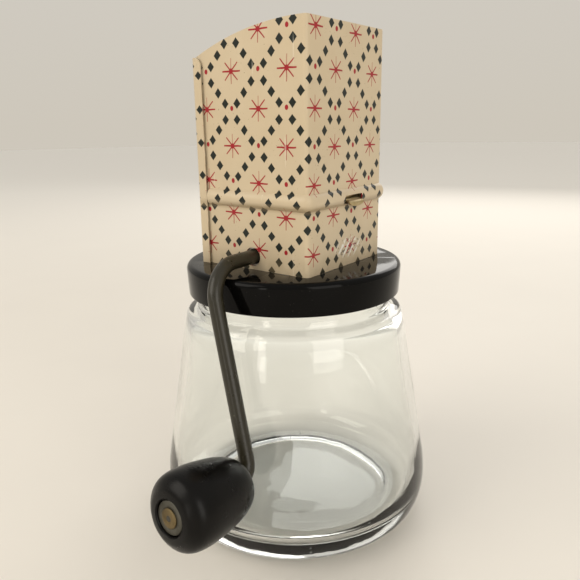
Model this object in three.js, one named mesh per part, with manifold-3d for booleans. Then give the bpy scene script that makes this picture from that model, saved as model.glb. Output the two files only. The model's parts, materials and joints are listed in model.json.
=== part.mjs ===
// Hand-crank nut chopper: a glass jar, a screw lid that carries a tin hopper,
// and a bent-rod crank whose star blades turn between the fingers of a fixed grate.
// Millimetres, +Z up, origin at the centre of the jar's underside.
// The crank leaves the hopper towards -Y.

import * as THREE from 'three';
import { mergeVertices } from 'three/addons/utils/BufferGeometryUtils.js';
import Module from 'manifold-3d';

// ---- Driving dimensions -------------------------------------------------

const GAP = 0.3;                    // clearance between pieces that touch

const JAR_RIM_Z = 90.6;
const JAR_FOOT_RADIUS = 37;
const JAR_NECK_RADIUS = 33.5;
const JAR_NECK_BORE = 30.5;
const JAR_FLOOR_Z = 6.5;

const THREAD_PITCH = 4.23;
const THREAD_START_Z = 84.8;        // centre of the jar thread where it starts
const JAR_THREAD_TURNS = 1.12;
const LID_THREAD_TURNS = 1;
const THREAD_DEPTH = 1.15;

const LID_RADIUS = 38;
const LID_BOTTOM_Z = 83.6;
const LID_TOP_Z = 94.4;
const LID_PANEL = 2.4;              // thickness of the lid's flat top
const LID_BORE = 35.1;
const LID_EDGE_ROUND = 2;
const THROAT_HALF = 18;             // half side of the square hole through the lid

const TIN = 0.6;                    // sheet thickness
const HOPPER_HALF = 22.25;          // centre to the outer face of the wrap
const HOPPER_CORNER = 1.4;
const HOPPER_BOTTOM_Z = LID_TOP_Z + GAP;
const HOPPER_TOP_Z = 170.4;
const HOPPER_LOW_SIDE_Z = 161.6;
const TOP_ARC_RADIUS = 105;         // the two sides fall away along this arc
const TOP_ARC_START_X = 20;
const FLANGE_WIDTH = 3.9;           // fold of the back panel over each side

const BEAD_Z = 117.4;
const BEAD_HALF = 2.7;
const BEAD_PROUD = 1.6;
const BEAD_END_X = -18;             // where the bead starts to close
const BEAD_END_LENGTH = 0.9;

const SLOT_Y = 2;
const SLOT_WIDTH = 10;
const SLOT_HEIGHT = 2;

const TAB_SPACING = 11;
const TAB_WIDTH = 7;
const TAB_REACH = 3.2;

const SHAFT_Z = 98.7;
const ROD_RADIUS = 2.38;
const SHAFT_HOLE_RADIUS = 3.1;
const SHAFT_BACK_Y = 27.4;
const SHAFT_CORNER_Y = -42.7;
const SHAFT_BEND = 12.4;
const ARM_LENGTH = 64.1;
const ARM_SWING = THREE.MathUtils.degToRad(17.8);   // about the shaft, from hanging
const ARM_LEAN = THREE.MathUtils.degToRad(6);       // away from the jar
const SPINDLE_BEND = 4.8;
const KNOB_OFFSET = 5.1;            // arm's corner to the knob's inner end
const KNOB_LENGTH = 26.6;
const WASHER_RADIUS = 4.4;
const WASHER_THICKNESS = 0.8;
const WASHER_SEAT = 1.5;            // depth of the seat in the knob's outer end
const ROD_HEAD_RADIUS = 2.9;
const ROD_HEAD_THICKNESS = 0.6;

const BLADE_COUNT = 6;
const BLADE_PITCH = 6.2;
const BLADE_THICKNESS = 1;
const BLADE_RADIUS = 13;
const BLADE_ROOT = 5.2;
const BLADE_TEETH = 6;
const SPACER_RADIUS = 4.2;
const GRATE_SHEET = 0.8;
const FINGER_WIDTH = 2.6;

const ROUND = 40;                   // facets round the jar and lid
const ROUND_SMALL = 24;              // knob, rings and holes
const ROUND_ROD = 12;

// ---- Tools ----------------------------------------------------------------

const wasm = await Module();
wasm.setup();

const X = new THREE.Vector3(1, 0, 0);
const Y = new THREE.Vector3(0, 1, 0);
const Z = new THREE.Vector3(0, 0, 1);

function toSolid(geometry) {
  const bare = geometry.index ? geometry.toNonIndexed() : geometry.clone();
  bare.deleteAttribute('normal');
  bare.deleteAttribute('uv');
  const merged = mergeVertices(bare, 1e-4);
  return new wasm.Manifold(new wasm.Mesh({
    numProp: 3,
    vertProperties: new Float32Array(merged.attributes.position.array),
    triVerts: new Uint32Array(merged.index.array),
  }));
}

function toGeometry(solid) {
  const mesh = solid.getMesh();
  const geometry = new THREE.BufferGeometry();
  geometry.setAttribute('position', new THREE.BufferAttribute(mesh.vertProperties, 3));
  geometry.setIndex(new THREE.BufferAttribute(mesh.triVerts, 1));
  return geometry;
}

function joinAll(solids) {
  return solids.reduce((all, solid) => all.add(solid));
}

function box(low, high) {
  const size = high.map((value, axis) => value - low[axis]);
  const geometry = new THREE.BoxGeometry(...size);
  geometry.translate(...low.map((value, axis) => value + size[axis] / 2));
  return toSolid(geometry);
}

// A cylinder along Y through (x, z).
function rodAlongY(radius, fromY, toY, x, z, facets = ROUND_SMALL) {
  const geometry = new THREE.CylinderGeometry(radius, radius, toY - fromY, facets);
  geometry.translate(x, (fromY + toY) / 2, z);
  return toSolid(geometry);
}

// Carries a closed outline through frames {at, across, up}; across x up points onward.
function sweep(outline, frames, curveSegments = 6) {
  const steps = frames.length - 1;
  const geometry = new THREE.ExtrudeGeometry(outline, {
    depth: steps, steps, bevelEnabled: false, curveSegments,
  });
  const points = geometry.attributes.position;
  const point = new THREE.Vector3();
  for (let i = 0; i < points.count; i += 1) {
    const frame = frames[Math.round(points.getZ(i))];
    const [side, height] = frame.adjust
      ? frame.adjust(points.getX(i), points.getY(i))
      : [points.getX(i), points.getY(i)];
    point.copy(frame.at);
    point.addScaledVector(frame.across, side);
    point.addScaledVector(frame.up, height);
    points.setXYZ(i, point.x, point.y, point.z);
  }
  return toSolid(geometry);
}

function lathe(points, facets) {
  const geometry = new THREE.LatheGeometry(points, facets);
  geometry.rotateX(Math.PI / 2);
  return toSolid(geometry);
}

function closed(points) {
  return [...points, points[0].clone()];
}

function at(radius, height) {
  return new THREE.Vector2(radius, height);
}

// Points of an arc from one angle to another, in degrees.
function arc(centreX, centreY, radius, from, to, count) {
  return Array.from({ length: count + 1 }, (unused, i) => {
    const angle = THREE.MathUtils.degToRad(from + ((to - from) * i) / count);
    return at(centreX + radius * Math.cos(angle), centreY + radius * Math.sin(angle));
  });
}

// A tapered ridge on a helix. The outline's x is the distance from the radius.
function thread(outline, radius, startZ, startTurn, turns) {
  const steps = Math.round(28 * turns);
  const fade = 4;
  const frames = Array.from({ length: steps + 1 }, (unused, i) => {
    const turn = (turns * i) / steps;
    const angle = 2 * Math.PI * (startTurn + turn);
    const height = Math.min(1, (Math.min(i, steps - i) + 0.2) / fade);
    const outward = new THREE.Vector3(Math.cos(angle), Math.sin(angle), 0);
    return {
      at: outward.clone().multiplyScalar(radius).setZ(startZ + THREAD_PITCH * turn),
      across: outward.negate(),
      up: Z,
      adjust: (side, level) => [side > 0 === outline.inward ? side * height : side, level],
    };
  });
  return sweep(outline.shape, frames);
}

function threadOutline(inward) {
  const crest = inward ? THREAD_DEPTH : -THREAD_DEPTH;
  const root = inward ? -0.5 : 0.5;
  const corners = [at(root, -1.1), at(0, -1.1), at(crest, -0.5), at(crest, 0.5), at(0, 1.1), at(root, 1.1)];
  return { inward, shape: new THREE.Shape(corners) };
}

// ---- Materials --------------------------------------------------------------

function material(color, roughness, metalness, more = {}) {
  return new THREE.MeshStandardMaterial({ color, roughness, metalness, ...more });
}

const LOOKS = {
  glass: () => material('#dfe8e6', 0.05, 0, { transparent: true, opacity: 0.35 }),
  liner: () => material('#c9bfa6', 0.85, 0),
  lid: () => material('#0b0b0c', 0.12, 0),
  print: () => material('#e6dcc4', 0.35, 0.1),
  tin: () => material('#b9b6ad', 0.35, 1),
  grate: () => material('#b39a63', 0.4, 1),
  rod: () => material('#3b372c', 0.4, 0.6),
  blade: () => material('#b4b6b8', 0.35, 1),
  knob: () => material('#121110', 0.38, 0),
  washer: () => material('#77756f', 0.45, 1),
};

const model = new THREE.Group();

function addPiece(name, solid, look, parent = model) {
  const mesh = new THREE.Mesh(toGeometry(solid), LOOKS[look]());
  mesh.name = name;
  parent.add(mesh);
  return mesh;
}

// ---- Jar and lid --------------------------------------------------------------

function jar() {
  const side = new THREE.SplineCurve([
    at(41.2, 1.3), at(45.9, 3.7), at(47.9, 7.4), at(49, 13), at(48.6, 20), at(47.2, 28),
    at(45.3, 40), at(42.6, 55), at(40.5, 68), at(39.1, 74),
  ]).getPoints(14);
  const shoulder = [at(37.7, 76.8), at(35.9, 78.3), at(34.35, 78.8)];
  const neck = [at(34.35, 83.2), at(JAR_NECK_RADIUS, 83.8), at(JAR_NECK_RADIUS, JAR_RIM_Z - 0.9)];
  const rim = arc(JAR_NECK_RADIUS - 0.9, JAR_RIM_Z - 0.9, 0.9, 45, 90, 2);
  const mouth = [at(JAR_NECK_BORE + 0.6, JAR_RIM_Z), at(JAR_NECK_BORE, JAR_RIM_Z - 0.6), at(JAR_NECK_BORE, 80)];
  const inside = new THREE.SplineCurve([
    at(31.6, 77), at(35.2, 73), at(37.2, 67), at(39.5, 54), at(42.1, 40),
    at(44.6, 26), at(45.4, 16), at(43.2, 9.8), at(37, 7), at(26, JAR_FLOOR_Z),
  ]).getPoints(8);
  const outline = [
    at(0, 0), at(JAR_FOOT_RADIUS, 0), ...side, ...shoulder, ...neck, ...rim, ...mouth, ...inside,
    at(0, JAR_FLOOR_Z + 0.6),
  ];
  const ridge = thread(threadOutline(false), JAR_NECK_RADIUS, THREAD_START_Z, 0, JAR_THREAD_TURNS);
  return lathe(outline, ROUND).add(ridge);
}

function lidLiner() {
  const low = JAR_RIM_Z + GAP;
  const high = LID_TOP_Z - LID_PANEL - GAP;
  const outer = LID_BORE - GAP;
  return lathe(closed([at(30.9, low), at(outer, low), at(outer, high), at(30.9, high)]), ROUND);
}

// The four hopper walls: the outward direction of each, and the reach to its sheet.
const BACK_WALL = { outward: X.clone().negate(), face: HOPPER_HALF + TIN };
const WALLS = [
  { outward: Y.clone().negate(), face: HOPPER_HALF },
  { outward: X.clone(), face: HOPPER_HALF },
  { outward: Y.clone(), face: HOPPER_HALF },
  BACK_WALL,
];

// A box set against a wall: along the wall, out from the axis, and in height.
function wallBox(wall, along, out, height) {
  const sideways = new THREE.Vector3().crossVectors(Z, wall.outward);
  const a = sideways.clone().multiplyScalar(along[0]).addScaledVector(wall.outward, out[0]);
  const b = sideways.clone().multiplyScalar(along[1]).addScaledVector(wall.outward, out[1]);
  const low = a.clone().min(b);
  const high = a.clone().max(b);
  return box([low.x, low.y, height[0]], [high.x, high.y, height[1]]);
}

function screwLid() {
  const under = LID_TOP_Z - LID_PANEL;
  const edge = arc(LID_RADIUS - LID_EDGE_ROUND, LID_TOP_Z - LID_EDGE_ROUND, LID_EDGE_ROUND, 0, 90, 5);
  const outline = [
    at(0, under), at(LID_BORE, under), at(LID_BORE, LID_BOTTOM_Z), at(LID_RADIUS - 0.5, LID_BOTTOM_Z),
    at(LID_RADIUS, LID_BOTTOM_Z + 0.5), ...edge, at(0, LID_TOP_Z),
  ];
  const halfTurn = 0.5;
  const rise = THREAD_START_Z + 0.25;
  const ridge = thread(threadOutline(true), LID_BORE, rise, halfTurn + 0.25 / THREAD_PITCH, LID_THREAD_TURNS);
  const throat = box([-THROAT_HALF, -THROAT_HALF, under - 1], [THROAT_HALF, THROAT_HALF, LID_TOP_Z + 1]);
  const slots = tabPlaces().map(({ wall, along }) => {
    const half = TAB_WIDTH / 2 + GAP + 0.2;
    const reach = [wall.face - TIN - GAP, wall.face + GAP];
    return wallBox(wall, [along - half, along + half], reach, [under - 1, LID_TOP_Z + 1]);
  });
  return lathe(outline, ROUND).add(ridge).subtract(throat).subtract(joinAll(slots));
}

// ---- Hopper -------------------------------------------------------------------

function tabPlaces() {
  return WALLS.flatMap((wall) => [-TAB_SPACING, TAB_SPACING].map((along) => ({ wall, along })));
}

// Each tab passes down through the lid and is folded inwards under it.
function foldedTab({ wall, along }) {
  const span = [along - TAB_WIDTH / 2, along + TAB_WIDTH / 2];
  const under = LID_TOP_Z - LID_PANEL - GAP;
  const leg = wallBox(wall, span, [wall.face - TIN, wall.face], [under - TIN, HOPPER_BOTTOM_Z + 0.5]);
  const foot = wallBox(wall, span, [wall.face - TIN - TAB_REACH, wall.face], [under - TIN, under]);
  return leg.add(foot);
}

// Half-round bead: how far the sheet stands out at a height.
const BEAD_ROUND = (BEAD_HALF ** 2 + BEAD_PROUD ** 2) / (2 * BEAD_PROUD);

function beadRise(level) {
  const above = Math.min(Math.abs(level - BEAD_Z), BEAD_HALF);
  return Math.sqrt(BEAD_ROUND ** 2 - above ** 2) - (BEAD_ROUND - BEAD_PROUD);
}

function beadFace(offset) {
  const count = 8;
  return Array.from({ length: count + 1 }, (unused, i) => {
    const level = BEAD_Z - BEAD_HALF + (2 * BEAD_HALF * i) / count;
    return at(offset + beadRise(level), level);
  });
}

// A frame on the sheet's outer face; share is how much of the bead it keeps.
function frameOn(x, y, nx, ny, share = 1) {
  return {
    at: new THREE.Vector3(x, y, 0),
    across: new THREE.Vector3(nx, ny, 0),
    up: Z,
    adjust: (side, level) => [side - (1 - share) * beadRise(level), level],
  };
}

// Round a corner of the sheet, from one outward direction to the next, in degrees.
function cornerFrames(centreX, centreY, radius, from, to) {
  return arc(0, 0, 1, from, to, 4).map((out) => (
    frameOn(centreX + radius * out.x, centreY + radius * out.y, out.x, out.y)
  ));
}

// Everything above the top edge: level by the slotted panel, then falling along the arc.
function aboveTopEdge() {
  const end = HOPPER_HALF + 4;
  const drop = THREE.MathUtils.radToDeg(Math.asin((end + TOP_ARC_START_X) / TOP_ARC_RADIUS));
  const fall = arc(TOP_ARC_START_X, HOPPER_TOP_Z - TOP_ARC_RADIUS, TOP_ARC_RADIUS, 90, 90 + drop, 14);
  const high = HOPPER_TOP_Z + 6;
  const outline = new THREE.Shape([...fall, at(-end, high), at(end, high), at(end, HOPPER_TOP_Z)]);
  const geometry = new THREE.ExtrudeGeometry(outline, { depth: 2 * end, bevelEnabled: false });
  geometry.rotateX(Math.PI / 2);
  geometry.translate(0, end, 0);
  return toSolid(geometry);
}

// One sheet round three sides, with the bead, the shaft's two holes and the lock tab's slot.
function hopperWrap() {
  const tall = HOPPER_TOP_Z + 2;
  const outline = new THREE.Shape([
    at(0, HOPPER_BOTTOM_Z), ...beadFace(0), at(0, tall),
    at(-TIN, tall), ...beadFace(-TIN).reverse(), at(-TIN, HOPPER_BOTTOM_Z),
  ]);
  const centre = HOPPER_HALF - HOPPER_CORNER;
  const beadEnd = [1, 0.75, 0.4, 0].map((part) => ({
    x: BEAD_END_X - BEAD_END_LENGTH * part,
    share: Math.sqrt(1 - part ** 2),
  }));
  const sideEnd = (y, outY) => [{ x: -HOPPER_HALF + GAP, share: 0 }, ...beadEnd]
    .map(({ x, share }) => frameOn(x, y, 0, outY, share));
  const sheet = sweep(outline, [
    ...sideEnd(HOPPER_HALF, 1),
    ...cornerFrames(centre, centre, HOPPER_CORNER, 90, 0),
    ...cornerFrames(centre, -centre, HOPPER_CORNER, 0, -90),
    ...sideEnd(-HOPPER_HALF, -1).reverse(),
  ]);
  const tabs = tabPlaces().filter(({ wall }) => wall !== BACK_WALL).map(foldedTab);
  const shaftHoles = rodAlongY(SHAFT_HOLE_RADIUS, -HOPPER_HALF - 3, HOPPER_HALF + 3, 0, SHAFT_Z);
  const slot = box(
    [HOPPER_HALF - 3, SLOT_Y - SLOT_WIDTH / 2, BEAD_Z - SLOT_HEIGHT / 2],
    [HOPPER_HALF + 3, SLOT_Y + SLOT_WIDTH / 2, BEAD_Z + SLOT_HEIGHT / 2],
  );
  return joinAll([sheet, ...tabs]).subtract(shaftHoles).subtract(slot).subtract(aboveTopEdge());
}

// The low back panel, folded over the two sides; the folds' top corners are cut round.
function hopperBack() {
  const face = HOPPER_HALF + GAP + TIN;
  const low = HOPPER_BOTTOM_Z;
  const high = HOPPER_LOW_SIDE_Z;
  const outline = new THREE.Shape([at(0, low), at(0, high), at(-TIN, high), at(-TIN, low)]);
  const bend = 1.2;
  const centre = face - bend;
  const foldEnd = -BACK_WALL.face + FLANGE_WIDTH;
  const back = -BACK_WALL.face + bend;
  const sheet = sweep(outline, [
    frameOn(foldEnd, -face, 0, -1, 0),
    ...cornerFrames(back, -centre, bend, -90, -180),
    ...cornerFrames(back, centre, bend, 180, 90),
    frameOn(foldEnd, face, 0, 1, 0),
  ]);
  const cut = 2.6;
  const cornerCut = new THREE.Shape([
    at(foldEnd + 1, high + 1), at(foldEnd - cut, high + 1),
    ...arc(foldEnd - cut, high - cut, cut, 90, 0, 5), at(foldEnd + 1, high - cut),
  ]);
  const cutter = new THREE.ExtrudeGeometry(cornerCut, { depth: 2 * face + 4, bevelEnabled: false });
  cutter.rotateX(Math.PI / 2);
  cutter.translate(0, face + 2, 0);
  const tabs = tabPlaces().filter(({ wall }) => wall === BACK_WALL).map(foldedTab);
  return joinAll([sheet, ...tabs]).subtract(toSolid(cutter));
}

// ---- Grate --------------------------------------------------------------------

// A sheet lying along a line in the XZ plane, between two places along Y.
function slopingSheet(from, to, lowY, highY) {
  const along = new THREE.Vector2().subVectors(to, from);
  const geometry = new THREE.BoxGeometry(along.length(), highY - lowY, GRATE_SHEET);
  geometry.rotateY(-along.angle());
  geometry.translate((from.x + to.x) / 2, (lowY + highY) / 2, (from.y + to.y) / 2);
  return toSolid(geometry);
}

// Rests in the bead's groove; its two rows of fingers reach down between the blades.
function choppingGrate() {
  const low = BEAD_Z - GRATE_SHEET / 2;
  const inside = HOPPER_HALF - TIN - 2 * GAP;
  const inGroove = HOPPER_HALF + 0.5;
  const corner = HOPPER_HALF - HOPPER_CORNER;
  const grooveStart = BEAD_END_X + 0.5;
  const backEdge = -BACK_WALL.face + TIN + GAP;
  const half = [
    at(backEdge, inside), at(grooveStart, inside), at(grooveStart, inGroove), at(corner, inGroove),
    at(inGroove, corner),
  ];
  const mirrored = half.map((point) => at(point.x, -point.y)).reverse();
  const window = 17;
  const rim = new THREE.ExtrudeGeometry(
    new THREE.Shape([...half, ...mirrored]),
    { depth: GRATE_SHEET, bevelEnabled: false },
  );
  rim.translate(0, 0, low);
  const opening = box([-window, -window - 2, low - 1], [window, window + 2, low + 2]);
  const fingerYs = Array.from({ length: BLADE_COUNT + 1 }, (unused, i) => (i - BLADE_COUNT / 2) * BLADE_PITCH);
  const rows = [-1, 1].flatMap((side) => {
    const top = at(side * (window + 0.4), BEAD_Z);
    const knee = at(side * 14.6, 108.2);
    const tip = at(side * 5.6, 104);
    const apron = slopingSheet(top, knee, -window - 2, window + 2);
    const fingers = fingerYs.map((y) => slopingSheet(knee, tip, y - FINGER_WIDTH / 2, y + FINGER_WIDTH / 2));
    return [apron, ...fingers];
  });
  const tabWidth = SLOT_WIDTH - 2;
  const tabY = [SLOT_Y - tabWidth / 2, SLOT_Y + tabWidth / 2];
  const out = HOPPER_HALF + BEAD_PROUD + GAP;
  const tab = box([HOPPER_HALF - 1, tabY[0], low], [out + GRATE_SHEET, tabY[1], low + GRATE_SHEET]);
  const turned = box([out, tabY[0], BEAD_Z - 3.4], [out + GRATE_SHEET, tabY[1], low + GRATE_SHEET]);
  return joinAll([toSolid(rim).subtract(opening), ...rows, tab, turned]);
}

// ---- Crank ----------------------------------------------------------------------

// Corners of the bent rod: shaft, arm and spindle. The spindle stands square to the arm.
const OUT = Y.clone().negate();
const ARM_DIRECTION = new THREE.Vector3(
  Math.sin(ARM_SWING) * Math.cos(ARM_LEAN),
  -Math.sin(ARM_LEAN),
  -Math.cos(ARM_SWING) * Math.cos(ARM_LEAN),
);
const SPINDLE = OUT.clone().addScaledVector(ARM_DIRECTION, -OUT.dot(ARM_DIRECTION)).normalize();
const SHAFT_CORNER = new THREE.Vector3(0, SHAFT_CORNER_Y, SHAFT_Z);
const SPINDLE_CORNER = SHAFT_CORNER.clone().addScaledVector(ARM_DIRECTION, ARM_LENGTH);
const KNOB_START = SPINDLE_CORNER.clone().addScaledVector(SPINDLE, KNOB_OFFSET);
const ROD_END = KNOB_LENGTH + 0.2;  // from the knob's inner end

// Stands a solid made along Z on the spindle, its base at the knob's inner end.
function onSpindle(solid) {
  const turn = new THREE.Quaternion().setFromUnitVectors(Z, SPINDLE);
  const place = new THREE.Matrix4().compose(KNOB_START, turn, new THREE.Vector3(1, 1, 1));
  return solid.transform(place.elements);
}

// Places and directions round one bend of the rod.
function bendStations(corner, before, after, radius, count) {
  const turn = before.angleTo(after);
  const reach = radius * Math.tan(turn / 2);
  const inward = after.clone().addScaledVector(before, -after.dot(before)).normalize();
  const start = corner.clone().addScaledVector(before, -reach);
  return Array.from({ length: count + 1 }, (unused, i) => {
    const angle = (turn * i) / count;
    const place = start.clone().addScaledVector(before, radius * Math.sin(angle));
    place.addScaledVector(inward, radius * (1 - Math.cos(angle)));
    const heading = before.clone().multiplyScalar(Math.cos(angle)).addScaledVector(inward, Math.sin(angle));
    return { place, heading };
  });
}

function crankRod() {
  const sideways = new THREE.Vector3().crossVectors(ARM_DIRECTION, OUT).normalize();
  const stations = [
    { place: new THREE.Vector3(0, SHAFT_BACK_Y, SHAFT_Z), heading: OUT },
    ...bendStations(SHAFT_CORNER, OUT, ARM_DIRECTION, SHAFT_BEND, 8),
    ...bendStations(SPINDLE_CORNER, ARM_DIRECTION, SPINDLE, SPINDLE_BEND, 6),
    { place: KNOB_START.clone().addScaledVector(SPINDLE, ROD_END), heading: SPINDLE },
  ];
  const frames = stations.map(({ place, heading }) => ({
    at: place,
    across: sideways,
    up: new THREE.Vector3().crossVectors(heading, sideways),
  }));
  const section = new THREE.Shape(arc(0, 0, ROD_RADIUS, 0, 360 - 360 / ROUND_ROD, ROUND_ROD - 1));
  const headLow = ROD_END - ROD_HEAD_THICKNESS / 2;
  const headHigh = ROD_END + ROD_HEAD_THICKNESS / 2;
  const head = lathe([
    at(0, headLow), at(ROD_HEAD_RADIUS, headLow), at(ROD_HEAD_RADIUS, headHigh), at(0, headHigh),
  ], ROUND_SMALL);
  return sweep(section, frames).add(onSpindle(head));
}

// A ring on the shaft, from one place along Y to another.
function shaftRing(outer, bore, fromY, toY) {
  const body = rodAlongY(outer, fromY, toY, 0, SHAFT_Z);
  return body.subtract(rodAlongY(bore, fromY - 1, toY + 1, 0, SHAFT_Z));
}

const SHAFT_BORE = ROD_RADIUS + GAP;
const WASHER_REACH = SHAFT_Z - LID_TOP_Z - 0.4;     // just clears the lid's flat top

// A toothed disc; each blade is turned a little from the last so they bite in turn.
function starBlade(index) {
  const y = (index - (BLADE_COUNT - 1) / 2) * BLADE_PITCH;
  const pitch = (2 * Math.PI) / BLADE_TEETH;
  const skew = (pitch * index) / BLADE_COUNT;
  const corners = Array.from({ length: BLADE_TEETH }, (unused, tooth) => tooth * pitch + skew).flatMap((angle) => [
    [BLADE_ROOT, -0.42], [BLADE_RADIUS, -0.11], [BLADE_RADIUS, 0.11], [BLADE_ROOT, 0.42],
  ].map(([radius, share]) => at(radius * Math.cos(angle + share), radius * Math.sin(angle + share))));
  const geometry = new THREE.ExtrudeGeometry(
    new THREE.Shape(corners),
    { depth: BLADE_THICKNESS, bevelEnabled: false },
  );
  geometry.rotateX(Math.PI / 2);
  geometry.translate(0, y + BLADE_THICKNESS / 2, SHAFT_Z);
  return toSolid(geometry).subtract(rodAlongY(SHAFT_BORE, y - 1, y + 1, 0, SHAFT_Z));
}

// Spacers fill the shaft from wall to wall between the blades.
function bladeSpacer(index) {
  const wall = HOPPER_HALF - TIN - GAP;
  const faceAfter = (blade) => (blade - (BLADE_COUNT - 1) / 2) * BLADE_PITCH + BLADE_THICKNESS / 2 + GAP;
  const fromY = index === 0 ? -wall : faceAfter(index - 1);
  const toY = index === BLADE_COUNT ? wall : -faceAfter(BLADE_COUNT - 1 - index);
  return shaftRing(SPACER_RADIUS, SHAFT_BORE, fromY, toY);
}

// A thin dished nut with two ears turned out against the shaft's end.
function pushNut() {
  const seat = HOPPER_HALF + 2 * GAP + 1;
  const plate = shaftRing(WASHER_REACH, SHAFT_BORE, seat, seat + 0.7);
  const collar = shaftRing(3.4, SHAFT_BORE, seat + 0.5, seat + 2);
  return plate.add(collar);
}

// ---- Knob -----------------------------------------------------------------------

function knob() {
  const bore = ROD_RADIUS + GAP;
  const side = new THREE.SplineCurve([
    at(5, 0), at(7.3, 1), at(8.75, 3.3), at(10.1, 7.3), at(10.95, 12.4), at(11.45, 17.6),
    at(11.25, 21.7), at(10.2, 24.3), at(7.7, 26.1), at(6.1, KNOB_LENGTH),
  ]).getPoints(12);
  const seatRadius = WASHER_RADIUS + GAP;
  const profile = closed([
    at(bore, 0), ...side, at(seatRadius, KNOB_LENGTH),
    at(seatRadius, KNOB_LENGTH - WASHER_SEAT), at(bore, KNOB_LENGTH - WASHER_SEAT),
  ]);
  return onSpindle(lathe(profile, ROUND_SMALL));
}

function knobWasher() {
  const low = KNOB_LENGTH - WASHER_SEAT + GAP;
  const high = low + WASHER_THICKNESS - GAP;
  const bore = ROD_RADIUS + GAP;
  const profile = closed([
    at(bore, low), at(WASHER_RADIUS, low), at(WASHER_RADIUS, high), at(bore, high),
  ]);
  return onSpindle(lathe(profile, ROUND_SMALL));
}

// ---- Assembly ---------------------------------------------------------------------

addPiece('jar', jar(), 'glass');
addPiece('lid_liner', lidLiner(), 'liner');
addPiece('screw_lid', screwLid(), 'lid');
addPiece('hopper_wrap', hopperWrap(), 'print');
addPiece('hopper_back', hopperBack(), 'print');
addPiece('chopping_grate', choppingGrate(), 'grate');
addPiece('crank_rod', crankRod(), 'rod');
for (let i = 0; i < BLADE_COUNT; i += 1) {
  addPiece(`star_blade_${i + 1}`, starBlade(i), 'blade');
}
for (let i = 0; i <= BLADE_COUNT; i += 1) {
  addPiece(`blade_spacer_${i + 1}`, bladeSpacer(i), 'tin');
}
addPiece('shaft_washer', shaftRing(WASHER_REACH, SHAFT_BORE, HOPPER_HALF + GAP, HOPPER_HALF + GAP + 1), 'tin');
addPiece('shaft_push_nut', pushNut(), 'tin');
addPiece('knob', knob(), 'knob');
addPiece('knob_washer', knobWasher(), 'washer');

export default model;
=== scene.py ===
"""Looks of a hand-crank nut chopper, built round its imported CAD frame.

Lengths are in metres. The frame's origin is the centre of the jar's underside, +Z is up, the crank
comes out towards -Y and the panel with the slot faces +X.
"""

import json
import math

import bmesh
import bpy
from mathutils import Matrix, Vector


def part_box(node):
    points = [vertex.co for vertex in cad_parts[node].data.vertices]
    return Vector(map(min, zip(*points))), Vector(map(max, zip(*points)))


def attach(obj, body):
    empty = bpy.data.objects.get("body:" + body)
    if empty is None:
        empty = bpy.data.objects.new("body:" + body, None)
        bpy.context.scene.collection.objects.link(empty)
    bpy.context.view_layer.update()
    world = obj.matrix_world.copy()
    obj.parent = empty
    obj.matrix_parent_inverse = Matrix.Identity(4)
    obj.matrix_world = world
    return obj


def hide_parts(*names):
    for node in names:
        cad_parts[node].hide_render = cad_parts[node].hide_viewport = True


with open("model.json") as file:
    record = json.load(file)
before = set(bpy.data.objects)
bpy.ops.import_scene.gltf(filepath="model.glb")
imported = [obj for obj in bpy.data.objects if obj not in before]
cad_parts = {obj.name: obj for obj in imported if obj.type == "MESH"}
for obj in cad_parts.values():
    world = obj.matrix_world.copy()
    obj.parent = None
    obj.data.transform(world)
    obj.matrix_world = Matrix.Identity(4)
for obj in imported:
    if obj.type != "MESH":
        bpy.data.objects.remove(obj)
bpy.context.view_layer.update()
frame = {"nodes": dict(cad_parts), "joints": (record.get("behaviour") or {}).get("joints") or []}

MM = 0.001
JAR_LOW, JAR_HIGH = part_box("jar")
LID_LOW, LID_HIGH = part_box("screw_lid")
WRAP_LOW, WRAP_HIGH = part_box("hopper_wrap")
BACK_LOW, BACK_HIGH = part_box("hopper_back")
GRATE_LOW, GRATE_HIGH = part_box("chopping_grate")
JOINTS = {joint["name"]: joint for joint in frame["joints"]}
SHAFT_Z = JOINTS["crank_turn"]["pos_m"][2]
ALONG_SHAFT = Matrix.Translation((0, 0, SHAFT_Z)) @ Matrix.Rotation(-math.pi / 2, 4, "X")

LID_TOP = LID_HIGH.z
LID_RADIUS = LID_HIGH.x
TIN = 0.45 * MM
CORNER = 1.4 * MM
BEAD_PROUD = 1.6 * MM
BEAD_HALF = 2.7 * MM
BEAD_Z = 117.4 * MM
BEAD_END_X = -18 * MM
BEAD_END_LENGTH = 0.9 * MM
HOPPER_HALF = WRAP_HIGH.x - BEAD_PROUD
HOPPER_TOP = WRAP_HIGH.z
HOPPER_LOW_TOP = BACK_HIGH.z
TOP_ARC_RADIUS = 105 * MM
TOP_ARC_START_X = 20 * MM
HOLE_RADIUS = 3.1 * MM
SLOT_Y = 2 * MM
SLOT_HALF = 5.2 * MM
SLOT_LOW_Z = BEAD_Z - 2.1 * MM
SLOT_HIGH_Z = BEAD_Z + 0.7 * MM
ROD_RADIUS = 2.38 * MM
SHEET_FOOT_Z = LID_TOP + 0.03 * MM      # the sheets stand just clear of the lid

# The print's lattice. Stars and dots take turns along both steps, which lean a little.
CELL_ALONG = 10.87 * MM
CELL_UP = 11.28 * MM
PRINT_LEAN_ALONG = -0.115 * MM          # rise of one step along
PRINT_LEAN_UP = 0.278 * MM              # shift along of one step up
WRAP_STAR = (-6.8 * MM, 156.5 * MM)     # a star's place along from the front corner, and its height
# The back panel is cut a quarter turn round from the same print, and its cells are slightly smaller.
BACK_STAR = (-7.6 * MM, 130.2 * MM)     # a star's place along from the front flange's free edge, and height
BACK_SCALE = 0.97


# ---- Camera, floor and light -----------------------------------------------------------------

def aim(obj, location, target):
    """Places obj so that its -Z axis points from location to target."""
    back = (Vector(location) - Vector(target)).normalized()
    turn = back.to_track_quat("Z", "Y").to_matrix().to_4x4()
    obj.matrix_world = Matrix.Translation(location) @ turn


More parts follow.
